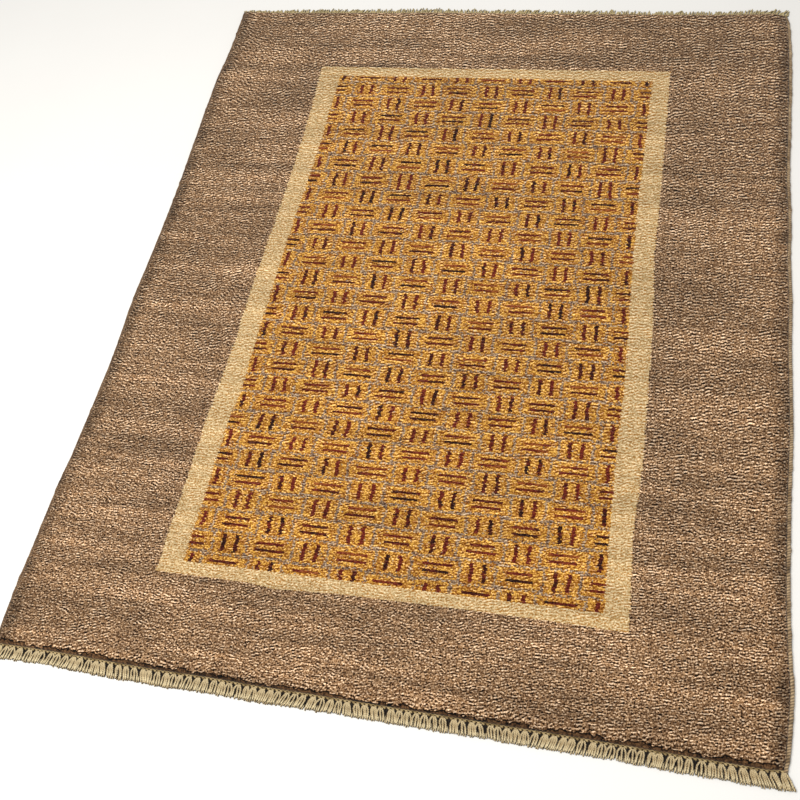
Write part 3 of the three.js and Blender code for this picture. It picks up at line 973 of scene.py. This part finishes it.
def make_near_fringe(material):
    """All the loops of the near end, group by group, with the lower warps below them, painted dark as shade
    near their roots.
    """
    rng = np.random.default_rng(41)
    places, reach = tip_line("end_fringe_near", -1)
    left = left_at(near_line[0, 1]) - SELVEDGE_WIDTH * 0.7
    right = right_at(near_line[-1, 1]) + SELVEDGE_WIDTH * 0.7
    pitch = (right - left) / NEAR_GROUPS
    cords = []
    for group in range(NEAR_GROUPS):
        middle = left + (group + 0.5 + rng.uniform(-0.16, 0.16)) * pitch
        corner = min(middle - left, right - middle) / CORNER_FAN
        lean = LEAN * slow_lean(middle) + rng.normal(0, 0.6) * MM
        lean += math.copysign(max(0, 1 - corner), middle) * CORNER_LEAN
        members = int(rng.choice([3, 3, 4, 4]))
        for member in np.linspace(-1, 1, members):
            root_x = middle + member * ROOT_SPREAD
            root_y = near_at(root_x) - END_SEAM - NEAR_WEAVE + ROOT_TUCK
            spread = member * (LOOP_SPREAD - ROOT_SPREAD) + rng.normal(0, 0.6) * MM
            tip_x = root_x + spread + lean + rng.normal(0, 1.5) * MM
            tip_y = np.interp(tip_x, places, reach) + abs(rng.normal(0, 1.3)) * MM + LOOP_SHORT
            radius = NEAR_CORD / 2 * rng.uniform(0.88, 1.1)
            count = 16
            rise = radius * 1.02 + rng.uniform(0, LOOP_RISE)
            path = loop_path((root_x, root_y, LOOP_ROOT_HEIGHT), (tip_x, tip_y, rise), spread, count)
            path[:, 0] += np.sin(np.linspace(0, 5, count) + rng.uniform(0, 6)) * 0.3 * MM
            share = np.linspace(0, 1, count)
            rounded = np.sqrt(1 - np.clip((share - 0.9) / 0.1, 0, 0.96) ** 2)
            sizes = radius * rounded * rng.uniform(0.93, 1.07, count)
            cords.append(cord_along(path, sizes, CORD_SIDES, rng.uniform(0, 6)))
        for member in (0.5, 1.5, 2.5, 3.5):
            root_x = left + (group + member / 4) * pitch
            root_y = near_at(root_x) - END_SEAM - NEAR_WEAVE + ROOT_TUCK
            full = np.interp(root_x, places, reach)
            tip_x = root_x + lean * 0.8
            tip_y = root_y + (full - root_y) * rng.uniform(0.88, 1.0)
            path = np.linspace((root_x, root_y, LOWER_ROOT_HEIGHT), (tip_x, tip_y, LOWER_TIP_HEIGHT), 5)
            sizes = LOWER_CORD / 2 * np.array([1.0, 1.1, 1.1, 1.0, 0.6])
            # the lower warps get painted shade, full at their roots and gone before their tips
            cords.append(cord_along(path, sizes, 6, rng.uniform(0, 6), 1.0))
    return join_cords("looped_fringe_near", cords, material)


cotton_near = cotton_material("warp_cotton_near", dye(146, 114, 66), dye(255, 237, 192), dye(22, 13, 5))
strip_cotton = cotton_material("flatwoven_cotton", dye(128, 106, 66), dye(200, 176, 128), dye(52, 38, 18))
near_strip = weave_strip("flatwoven_end_near", -1, near_line, NEAR_WEAVE, TWINE_PITCH, strip_cotton)
near_fringe = make_near_fringe(cotton_near)
for piece in (near_strip, near_fringe):
    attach(piece, "root")
    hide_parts("end_fringe_near")

# The far end.
# The same flat weave, but narrower, and here the warps were cut from the loom and left to fray.
# Their short ends lie every way, thin and tapered, almost bare at the left corner.
FAR_WEAVE = 6 * MM
FAR_LOCKS = 112
FAR_CORD = 3.8 * MM
FAR_LAY = 4 * MM
FAR_LEAN = 7 * MM
FAR_BARE = 40 * MM
FAR_STRAND = 3.2 * MM
FAR_SCATTER = 4 * MM
FAR_ROOT_HEIGHT = 2.4 * MM
FAR_RISE = (1.6 * MM, 5.5 * MM)


def make_far_fringe(material):
    """All the cut ends of the far side, each a loose lock of tapered strands."""
    rng = np.random.default_rng(51)
    places, reach = tip_line("end_fringe_far", 1)
    left = left_at(far_line[0, 1]) - SELVEDGE_WIDTH
    right = right_at(far_line[-1, 1]) + SELVEDGE_WIDTH
    pitch = (right - left) / FAR_LOCKS
    cords = []
    for lock in range(FAR_LOCKS):
        middle = left + (lock + 0.5) * pitch
        lean = FAR_LEAN * slow_lean(middle)
        bare = np.interp(middle - left, [0, FAR_BARE, 3 * FAR_BARE], [0.35, 0.5, 1])
        for strand in range(4):
            root_x = middle + (strand - 1.5) * FAR_STRAND + rng.normal(0, 0.6) * MM
            root_y = far_at(root_x) + END_SEAM + FAR_WEAVE - 1 * MM
            tip_x = root_x + FAR_LAY + lean * 0.6 + rng.normal(0, FAR_SCATTER)
            tip_x = min(max(tip_x, left), right)
            full = np.interp(tip_x, places, reach)
            tip_y = root_y + (full - root_y) * rng.uniform(0.35, 0.85) * bare
            count = 8
            share = np.linspace(0, 1, count)
            sway = np.sin(share * math.pi * rng.uniform(0.6, 1.4)) * rng.normal(0, 1.2) * MM
            rise = rng.uniform(*FAR_RISE)
            path = np.stack([root_x + (tip_x - root_x) * share ** 1.2 + sway,
                             root_y + (tip_y - root_y) * share,
                             FAR_ROOT_HEIGHT + (rise - FAR_ROOT_HEIGHT) * share], axis=1)
            sizes = FAR_CORD / 2 * np.interp(share, [0, 0.3, 0.85, 1], [1, 1, 0.8, 0.3])
            cords.append(cord_along(path, sizes, 6, rng.uniform(0, 6)))
    return join_cords("cut_fringe_far", cords, material)


cotton_far = cotton_material("warp_cotton_far", dye(166, 146, 94), dye(240, 222, 172), dye(34, 24, 12))
far_strip = weave_strip("flatwoven_end_far", 1, far_line, FAR_WEAVE, TWINE_PITCH, strip_cotton)
far_fringe = make_far_fringe(cotton_far)
for piece in (far_strip, far_fringe):
    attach(piece, "root")
    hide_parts("end_fringe_far")

# The floor, the light and the camera.
# A plain pale floor under one broad lamp above the near half and a soft even glow from all round.
# The camera stands at the near right corner and looks down across the rug, rolled a little.
FLOOR_SIZE = 14.0
FLOOR_DROP = 0.2 * MM
FLOOR_COLOUR = dye(244, 243, 240)
GLOW = 0.43
GLOW_COLOUR = (1.0, 0.995, 0.985, 1.0)
LAMP_PLACE = (-0.9, -0.85, 3.4)
LAMP_SIZE = 2.2
LAMP_POWER = 120.0
LAMP_COLOUR = (1.0, 0.975, 0.94)
CAMERA_PLACE = (0.4222, -1.3176, 1.7916)
CAMERA_AIM = (-0.0437, -0.2967, 0.0)
CAMERA_ROLL = -15.8
CAMERA_LENS = 44.38


def make_floor():
    """A wide level floor."""
    half = FLOOR_SIZE / 2
    corners = [(x * half, y * half, -FLOOR_DROP) for x, y in ((-1, -1), (1, -1), (1, 1), (-1, 1))]
    material, tree, shader = start_material("pale_floor", 0.7, 0.0, 0.5)
    spread = tree.nodes.new("ShaderNodeTexCoord")
    tone = cloud(tree, spread.outputs["Object"], 3.0, 3).ramp(0.2, 0.8)
    colour = mix(tree, tone, dye(242, 241, 238), FLOOR_COLOUR)
    tree.links.new(colour, shader.inputs["Base Color"])
    return make_mesh("floor", corners, [(0, 1, 2, 3)], material)


def light_the_room():
    """A broad lamp above the near half of the rug and an even pale glow."""
    world = bpy.data.worlds.new("studio")
    world.use_nodes = True
    background = world.node_tree.nodes["Background"]
    background.inputs[0].default_value = GLOW_COLOUR
    background.inputs[1].default_value = GLOW
    bpy.context.scene.world = world
    lamp = bpy.data.lights.new("broad_lamp", "AREA")
    lamp.shape = "DISK"
    lamp.size = LAMP_SIZE
    lamp.energy = LAMP_POWER
    lamp.color = LAMP_COLOUR
    held = bpy.data.objects.new("broad_lamp", lamp)
    held.location = LAMP_PLACE
    held.rotation_mode = "QUATERNION"
    held.rotation_quaternion = Vector(LAMP_PLACE).to_track_quat("Z", "Y")
    bpy.context.scene.collection.objects.link(held)


def place_camera():
    """The camera of the photograph, found from the four edges of the rug."""
    lens = bpy.data.cameras.new("camera")
    lens.sensor_width = 36
    lens.lens = CAMERA_LENS
    lens.clip_start = 0.05
    lens.clip_end = 60
    camera = bpy.data.objects.new("camera", lens)
    away = Vector(CAMERA_PLACE) - Vector(CAMERA_AIM)
    camera.location = CAMERA_PLACE
    camera.rotation_mode = "QUATERNION"
    rolled = Quaternion((0, 0, 1), math.radians(CAMERA_ROLL))
    camera.rotation_quaternion = away.to_track_quat("Z", "Y") @ rolled
    bpy.context.scene.collection.objects.link(camera)
    bpy.context.scene.camera = camera


floor = make_floor()
light_the_room()
place_camera()
bpy.context.scene.view_settings.view_transform = "Standard"
